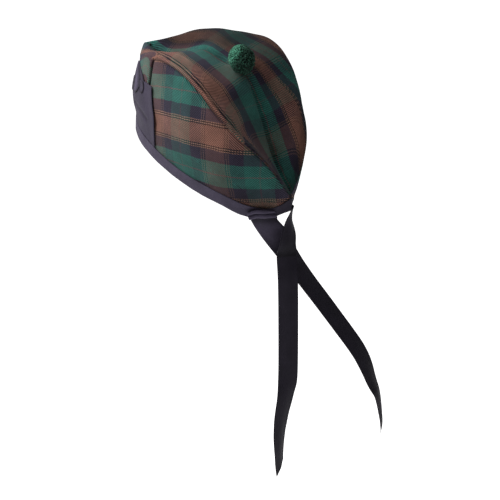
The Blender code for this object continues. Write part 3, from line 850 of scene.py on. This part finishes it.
def crown_strip(bm, half):
    """Half the strip down the front, whose cloth runs on from the crown and whose edge is sewn to
    the panel."""
    station, height = lattice(STRIP_GRID, high=(HOOK_STATION, 1.0))
    points = side_points(half, station, height)
    edge = side_points(half, *rounded_corner(half, station[-1], height[-1]))
    reach = np.linalg.norm(points - points[-1:], axis=-1)
    points = points + (edge - points[-1])[None] * (1 - smooth(reach / HOOK_REACH))[..., None]
    gap = seam_gap(points, half)
    lift = rolled_edge(gap)
    lift += rumple(points, size=0.045, depth=0.0012, seed=7.7) * rising(gap, 0.0, 0.02)
    laid_flat = 1 - rising(height, *STRIP_FLAT[half])
    lift -= laid_flat * np.maximum(lift, 0.0)
    back, out = crown_walk(half, station, crown_points(half, station, height))
    start = crown_cloth(half, back, out)[:, :1]
    down = run_along(points[:, ::-1], 1)[:, ::-1]
    cloth = start + np.stack([0 * down, half * down * STRIP_SCALE], -1)
    thread = np.stack([back[:, :1] + 0 * down, half * (out[:, :1] + down)], -1)
    # The seam's painted light, at half strength
    add_sheet(bm, pitched(points), cloth, lift, seam_painted_light(gap) * 0.5, thread, flip=half == RIGHT)


def crown():
    """The crown with its crease and its front strips, as one cloth."""
    bm = bmesh.new()
    for half in (LEFT, RIGHT):
        crown_top(bm, half)
        crown_strip(bm, half)
    bmesh.ops.remove_doubles(bm, verts=bm.verts[:], dist=0.00003)
    bmesh.ops.recalc_face_normals(bm, faces=bm.faces[:])
    rise(bm)
    add_piece("crown_cloth", bm, TARTAN, "crown", CLOTH_WALL)


def band_line(half, count):
    """The rim and the band's top line of a side, from the front to the back."""
    station = np.linspace(0, 1, count + 1)
    low = side_points(half, station, np.zeros(count + 1))
    wall = side_points(half, station, np.ones(count + 1)) - low
    return low, side_points(half, station, BAND_HEIGHT / np.linalg.norm(wall, axis=-1))


def rim_band():
    """The ribbon folded round the rim, eased round its curves and caught at its edge."""
    left, right = band_line(LEFT, BAND_STEPS), band_line(RIGHT, BAND_STEPS)
    low = np.concatenate([left[0], right[0][-2:0:-1]])
    high = np.concatenate([left[1], right[1][-2:0:-1]])
    ahead = np.roll(low, -1, 0) - np.roll(low, 1, 0)
    up = unit(high - low)
    out = unit(np.cross(ahead, up))
    inner, outer = -(CLOTH_WALL + BAND_STAND), BAND_STAND
    middle, half_wall = (inner + outer) / 2, (outer - inner) / 2
    level_steps = np.linspace(0, 1, 15)
    profile = [(outer, 1 - t) for t in level_steps]
    for angle in np.linspace(0, math.pi, 9)[1:-1]:
        below = -half_wall * math.sin(angle) / BAND_HEIGHT
        profile.append((middle + half_wall * math.cos(angle), below))
    profile += [(inner, t) for t in level_steps]
    height = np.linalg.norm(high - low, axis=-1)[:, None]
    columns = [low + up * height * level + out * across for across, level in profile]
    points = np.stack(columns, 1)
    points = np.concatenate([points, points[:1]])
    length = run_along(points, 0)[:, :1] * np.ones(points.shape[1])
    across = run_along(points, 1)
    easing = rumple(points, size=0.012, depth=0.00022, seed=1.3) * rising(across, 0.0, 0.003)
    # Painted shade over the band's back
    rear_painted_shade = -0.8 * rising(points[..., 1], 0.104, 0.008)
    bm = bmesh.new()
    add_sheet(bm, pitched(points), np.stack([length, across], -1), easing, rear_painted_shade)
    bmesh.ops.remove_doubles(bm, verts=bm.verts[:], dist=0.00001)
    bmesh.ops.recalc_face_normals(bm, faces=bm.faces[:])
    rise(bm)
    add_piece("rim_band", bm, RIBBON, "band", RIBBON_WALL)


def cockade_bulge(station, height):
    """The rise of the flat ribbon where it is pushed out over the front edge."""
    bulge = between(BULGES, (height - PATCH_FOOT) / (PATCH_TOP - PATCH_FOOT))[..., 0] / MM
    across = np.clip((station * SIDE_STEPS - PATCH_FRONT) / BULGE_SPAN, 0.0, 1.0)
    arch = np.sin(np.pi * across ** 0.45) ** 1.5
    return bulge * (1 - rising(height, PATCH_TOP, BULGE_FADE)) * arch


def line_gap(across, up, fold):
    """How far places on a ribbon lie from a fold's line, in shares."""
    start = np.array([fold.foot_across, fold.foot_up])
    run = np.array([fold.head_across, fold.head_up]) - start
    place = np.stack([across, up], -1) - start
    along = np.clip((place @ run) / (run @ run), 0.0, 1.0)
    return np.linalg.norm(place - along[..., None] * run, axis=-1)


def cockade_flat():
    """The cockade's flat ribbon, laid over the left front with its rear edge free and upright."""
    share, height = lattice(PATCH_GRID, (0.0, PATCH_FOOT), (1.0, PATCH_TOP))
    rear = PATCH_REAR + PATCH_FLARE * smooth((PATCH_TOP - height) / 0.35)
    station = (PATCH_FRONT + share * (rear - PATCH_FRONT)) / SIDE_STEPS
    points = side_points(LEFT, station, height)
    free_edge = FREE_EDGE_RISE * rising(share, 0.86, 0.14)
    fold = line_gap(share, height, PATCH_CREASE)
    lift = PATCH_STAND + PATCH_RISE * rising(height, 0.20, 0.20) + free_edge
    lift += rumple(points, size=0.02, depth=0.0003, seed=5.2) + cockade_bulge(station, height)
    lift -= PATCH_CREASE.depth * bell(fold, 0.0, PATCH_CREASE.width)
    # Painted shade over the whole ribbon, deeper in its crease
    painted_light = COCKADE_SHADE - 0.4 * bell(fold, 0.0, 0.02)
    cloth = np.stack([run_along(points, 1), run_along(points, 0)], -1)
    add_ribbon("cockade_flat", "cockade_patch", COCKADE_WALL, pitched(points), cloth, lift, painted_light)


def cockade_loops():
    """The cockade's bow: ribbon gathered in two loops whose tips lie on the flat ribbon."""
    across, up = lattice(BOW_GRID)
    foot = BOW_FOOT + 0.06 * bell(across, 0.80, 0.07) + 0.03 * rising(across, 0.72, 0.1)
    height = foot + (BOW_TOP - foot) * up
    bow = between(BOWS, (height - BOW_FOOT) / (BOW_TOP - BOW_FOOT))
    start, end, proud = np.moveaxis(bow, -1, 0)
    station = (start + across * (end - start)) / SIDE_STEPS
    points = side_points(LEFT, station, height)
    hump = np.sin(np.pi * np.clip(across, 0.0, 1.0) ** 0.75) ** 0.6
    lift = BOW_STAND + proud / MM * hump
    # Painted shade over the whole bow, at its rear edge, at its tips and in its folds, and a painted
    # highlight along one loop
    painted_light = COCKADE_SHADE - 0.5 * bell(across, 1.0, 0.04) - 0.6 * bell(up, 0.0, 0.05)
    painted_light += 0.75 * bell(across, 0.62, 0.07) * rising(up, 0.0, 0.1)
    for fold in BOW_CREASES:
        near = bell(line_gap(across, up, fold), 0.0, fold.width)
        lift -= fold.depth * hump * near
        painted_light -= 0.8 * near
    over_patch = BOW_OVER_PATCH * (height < PATCH_TOP) + cockade_bulge(station, height)
    cloth = np.stack([run_along(points, 1), across * RIBBON_WIDTH], -1)
    lift = np.maximum(lift, BOW_STAND + over_patch)
    add_ribbon("cockade_bow_loops", "cockade_bow", COCKADE_WALL, pitched(points), cloth, lift, painted_light)


def yarn_batch(strands, radius, rng):
    """Some cut ends of yarn round the origin, each a short stem that points outward. Away from the
    lean they are looser: shorter and uneven, and painted darker as shade on the side away from the
    lamps."""
    bm = bmesh.new()
    uv_layer = bm.loops.layers.uv.new("cloth")
    root = radius * YARN_ROOT
    for aim in strands:
        loose = float(smooth((LOOSE_START - aim.dot(POMPOM_LEAN.normalized())) / LOOSE_SPAN))
        lump = noise.noise(aim * LUMP_SCALE) * LUMP_RISE * loose
        reach = radius * (rng.uniform(0.95 - 0.14 * loose, 0.97) + lump)
        # Each end's own tone, with painted shade on the loose side
        tone_and_painted_shade = (0.35 + 0.65 * rng.random()) * (1 - 0.75 * loose)
        stem = bmesh.ops.create_cone(
            bm, cap_ends=True, cap_tris=False, segments=5, radius1=YARN_RADIUS * 1.1,
            radius2=YARN_RADIUS * rng.uniform(0.6, 1.0), depth=reach - root)["verts"]
        turned = aim.to_track_quat("Z", "Y").to_matrix().to_4x4()
        matrix = Matrix.Translation(aim * (reach + root) / 2) @ turned
        bmesh.ops.transform(bm, matrix=matrix, verts=stem)
        for face in {face for vert in stem for face in vert.link_faces}:
            for loop in face.loops:
                share = (loop.vert.co.length - root) / (radius - root)
                loop[uv_layer].uv = (tone_and_painted_shade, min(max(share, 0.0), 1.0))
    return bm


def yarn_aims(rng):
    """Where the yarn ends point: evenly spread, unsteady, and thinned out away from the lean."""
    golden = math.pi * (3 - math.sqrt(5))
    aims = []
    for k in range(YARN_COUNT):
        z = 1 - 2 * (k + 0.5) / YARN_COUNT
        flat = math.sqrt(1 - z * z)
        aim = Vector((flat * math.cos(k * golden), flat * math.sin(k * golden), z))
        aim += Vector([rng.uniform(-YARN_WANDER, YARN_WANDER) for _ in range(3)])
        aim.normalize()
        if aim.dot(POMPOM_LEAN) > -0.1 or rng.random() < 0.6:
            aims.append(aim)
    return aims


def pompom():
    """The toorie: cut yarn ends standing out from a tied middle."""
    low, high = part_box("toorie")
    radius = (high.x - low.x) / 2 * POMPOM_SIZE
    bm = bmesh.new()
    uv_layer = bm.loops.layers.uv.new("cloth")
    bmesh.ops.create_icosphere(bm, subdivisions=3, radius=radius * CORE_SIZE)
    for face in bm.faces:
        face.smooth = True
        for loop in face.loops:
            loop[uv_layer].uv = CORE_SHADE
    rng = random.Random(11)
    aims = yarn_aims(rng)
    for start in range(0, len(aims), YARN_BATCH):
        mesh = mesh_from(yarn_batch(aims[start:start + YARN_BATCH], radius, rng), "yarn_batch")
        bm.from_mesh(mesh)
        bpy.data.meshes.remove(mesh)
    stretch = Matrix.Scale(POMPOM_STRETCH, 4, POMPOM_STAND.normalized())
    bmesh.ops.transform(bm, matrix=stretch, verts=bm.verts[:])
    bmesh.ops.translate(bm, verts=bm.verts[:], vec=(low + high) / 2 + POMPOM_SHIFT)
    add_piece("pompom_yarn", bm, YARN, "toorie")


def roll(middle, radius):
    """Seat rows for ribbon rolled over and tucked under itself."""
    angles = [math.radians(angle) for angle in range(10, 231, 20)]
    return [(middle - radius * math.cos(angle) / BAND_HEIGHT, radius * (0.85 + math.sin(angle)))
            for angle in angles]


# The two tails. A seat's rows say how far down the band the ribbon lies, as a share of the band's
# height, and how far out. The near tail starts in two wide rolls and leans on its seat. A tail's
# end is how far down its hanging rows the ribbon reaches.
Tail = namedtuple("Tail", "name node half station length end hang seat seat_width lean")
TAILS = [
    Tail(
        name="tail_near", node="tail_left", half=LEFT, station=0.87, length=0.300, end=0.93,
        hang=LEFT_HANG, seat_width=ROLL_WIDTH, lean=0.42,
        seat=roll(0.07, 0.0023) + roll(0.49, 0.0027) + [
            (0.68, 0.0006), (0.80, 0.0006), (0.92, 0.0007), (1.04, 0.0008)],
    ),
    Tail(
        name="tail_far", node="tail_right", half=RIGHT, station=0.93, length=0.320, end=0.96,
        hang=RIGHT_HANG, seat_width=RIBBON_WIDTH, lean=0.0,
        seat=[(0.50, 0.0006), (0.70, 0.0006), (0.85, 0.0006), (1.00, 0.0008)],
    ),
]


def tail_seat(half, station):
    """Where a tail lies on the band: a plane that touches its outer face, with its own axes."""
    low, high = (pitched(line) for line in band_line(half, SEAT_STEPS))
    out = unit(np.cross(np.gradient(low, axis=0), high - low)) * half
    low, high = low + out * SEAT_STAND, high + out * SEAT_STAND
    index = int(station * SEAT_STEPS)
    top, rim = high[index], low[index]
    rearward = unit(low[index + 10] - low[index - 10])
    outward = unit(np.cross(rearward, top - rim)) * half
    down = unit(rim - top - rearward * ((rim - top) @ rearward))
    near_by = np.concatenate([low, high])
    proud = ((near_by - top) @ outward).max()
    return top + outward * (proud + 0.0004), rearward * half, outward, down


def eased_over(centres, sides, seated):
    """Smooths a tail's hanging rows, between its last seated row and its tip."""
    kernel = np.array([1, 4, 6, 4, 1]) / 16
    for _ in range(6):
        for values in (sides, centres):
            padded = np.pad(values, ((2, 2), (0, 0)), mode="edge")
            eased = sum(padded[k:k + len(values)] * kernel[k] for k in range(5))
            values[seated:-3] = eased[seated:-3]


def tail_line(spec):
    """A tail's middle points, the directions of its width and its widths, from seat to tip."""
    seat, side, outward, down = tail_seat(spec.half, spec.station)
    centres, sides, widths = [], [], []
    for drop, proud in spec.seat:
        aside = (drop - spec.seat[-1][0]) * BAND_HEIGHT * spec.lean
        centres.append(seat + down * drop * BAND_HEIGHT + outward * proud + side * aside)
        sides.append(side)
        widths.append(spec.seat_width)
    foot = centres[-1] + down * 0.001
    up = np.array([0.0, 0.0, 1.0])
    for share in np.linspace(0, spec.end, TAIL_ROWS)[TAIL_FIRST_ROW:]:
        across, toward, drop, degrees = between(spec.hang, np.array([share]))[0]
        hanging = PLANE_ACROSS * across + PLANE_TOWARD * toward - up * drop
        centres.append(foot + hanging * spec.length)
        turn = math.radians(degrees)
        sides.append(PLANE_ACROSS * math.cos(turn) - PLANE_TOWARD * math.sin(turn))
        spread = 1 - smooth(share / TAIL_NECK)
        widths.append(RIBBON_WIDTH + (spec.seat_width - RIBBON_WIDTH) * spread)
    centres, sides = np.array(centres), np.array(sides)
    eased_over(centres, sides, len(spec.seat))
    return centres, sides, np.array(widths), down


def tail_shade(spec, hung):
    """How deep in painted shade a tail's rows lie: under the near tail's rolls and at the band's
    foot, over the far tail's seat and upper stretch down to its fold, with a faint painted highlight
    on the rolls' crests.
    """
    if spec.half == LEFT:
        tucked = [min(max(proud / 0.0022 - 1.5, -1.0), 0.1) for _, proud in spec.seat[:-1]]
        return np.concatenate([tucked, -1.0 * bell(hung, 0.0, 0.007)])
    inner = -0.9 * (1 - rising(hung, FOLD_DROP, 0.006)) - 0.7 * bell(hung, FOLD_DROP, 0.006)
    return np.concatenate([np.full(len(spec.seat) - 1, -0.9), inner])


def tail(spec):
    """A tail: its seat on the band, then its hanging stretch with a slanted cut at its tip."""
    centres, sides, widths, down = tail_line(spec)
    seated = len(spec.seat)
    runs = unit(np.gradient(centres, axis=0))
    walked = run_along(centres[:, None], 0)
    hung = walked[:, 0] - walked[seated - 1, 0]
    square = smooth(hung / SQUARE_DROP) if spec.lean else np.ones(len(hung))
    sides = unit(sides - runs * (sides * runs).sum(-1, keepdims=True) * square[:, None])
    shares = np.linspace(-0.5, 0.5, TAIL_COLUMNS + 1)
    points = centres[:, None] + sides[:, None] * shares[None, :, None] * widths[:, None, None]

    # The rolls sag at their forward edge, the ribbon is a little cupped, and its tip is slanted
    curled = [proud > ROLLED_OVER for _, proud in spec.seat] + [False] * (len(centres) - seated)
    sagging = rising(np.abs(shares), 0.18, 0.32) * (shares * spec.half < 0) * ROLL_SAG
    points = points + (np.array(curled)[:, None] * sagging[None])[..., None] * down
    cup = TAIL_CUP * np.cos(shares * np.pi * 2)
    points = points + np.cross(runs, sides)[:, None] * cup[None, :, None]
    near_tip = rising(np.arange(len(centres)), len(centres) - 1 - TAIL_CUT_ROWS, TAIL_CUT_ROWS)
    slant = near_tip[:, None] * (0.5 - shares)[None] * TAIL_CUT
    points = points + runs[:, None] * slant[..., None]

    cloth = np.stack(np.broadcast_arrays(walked, shares[None] * RIBBON_WIDTH), -1)
    painted_light = np.broadcast_to(tail_shade(spec, hung[seated - 1:])[:, None], points.shape[:2])
    lift = rumple(points, size=0.03, depth=0.0004, seed=9.4)
    piece = add_ribbon(spec.name, spec.node, RIBBON_WALL, points, cloth, lift, painted_light)


TARTAN = tartan_wool()
RIBBON = grosgrain()
YARN = pompom_wool()

side_panel(LEFT, "panel_left", "side_left")
side_panel(RIGHT, "panel_right", "side_right")
crown()
rim_band()
cockade_flat()
cockade_loops()
pompom()
for spec in TAILS:
    tail(spec)

# The camera, at the photograph's angle: its own right and back, what it looks at and how far off
RIGHTWARD = Vector((-0.6428, 0.7660, 0.0))
BACKWARD = Vector((0.6998, 0.5872, 0.4067))
UPWARD = BACKWARD.cross(RIGHTWARD)
LOOKED_AT = Vector((0.0104, 0.0657, -0.0827))
CAMERA_REACH = 1.5432
camera = add_object("camera", bpy.data.cameras.new("camera"))
camera.data.lens = 100.0
camera.data.sensor_width = 36.0
camera.location = LOOKED_AT + BACKWARD * CAMERA_REACH
camera.rotation_euler = BACKWARD.to_track_quat("Z", "Y").to_euler()
bpy.context.scene.camera = camera

# A white paper floor well below the tails, bright enough to leave no shadow
FLOOR_HALF = 8.0
FLOOR_LEVEL = -0.75
floor_bm = bmesh.new()
bmesh.ops.create_grid(floor_bm, x_segments=1, y_segments=1, size=FLOOR_HALF)
bmesh.ops.translate(floor_bm, verts=floor_bm.verts[:], vec=(0.0, 0.0, FLOOR_LEVEL))
floor_mesh = mesh_from(floor_bm, "floor")
paper, _, _ = new_material("matt_white_paper", {
    "Base Color": linear("#ffffff"), "Roughness": 1.0, "Emission Color": linear("#ffffff"),
    "Emission Strength": 0.95})
floor_mesh.materials.append(paper)
floor = add_object("floor", floor_mesh)

# Two soft lamps round the cap's middle: how far to the camera's left, up and back each one lies,
# its power, its size and its distance
LIT_MIDDLE = Vector((0.0, 0.0, 0.06))
Lamp = namedtuple("Lamp", "name left up back power size reach")
LAMPS = [
    Lamp("key", 0.84, 0.42, 0.44, 5.3, 0.55, 0.85),
    Lamp("top", 0.80, 1.00, 0.30, 9.5, 0.6, 0.85),
]
for lamp in LAMPS:
    light = bpy.data.lights.new(lamp.name, "AREA")
    light.energy = lamp.power
    light.size = lamp.size
    holder = add_object(lamp.name, light)
    aim = (RIGHTWARD * -lamp.left + UPWARD * lamp.up + BACKWARD * lamp.back).normalized()
    holder.location = LIT_MIDDLE + aim * lamp.reach
    holder.rotation_euler = aim.to_track_quat("Z", "Y").to_euler()

# A faint even light from all round
world = bpy.data.worlds.new("studio")
bpy.context.scene.world = world
bpy.context.scene.view_settings.view_transform = "Standard"
world.use_nodes = True
background = world.node_tree.nodes["Background"]
background.inputs["Color"].default_value = linear("#ffffff")
background.inputs["Strength"].default_value = 0.20
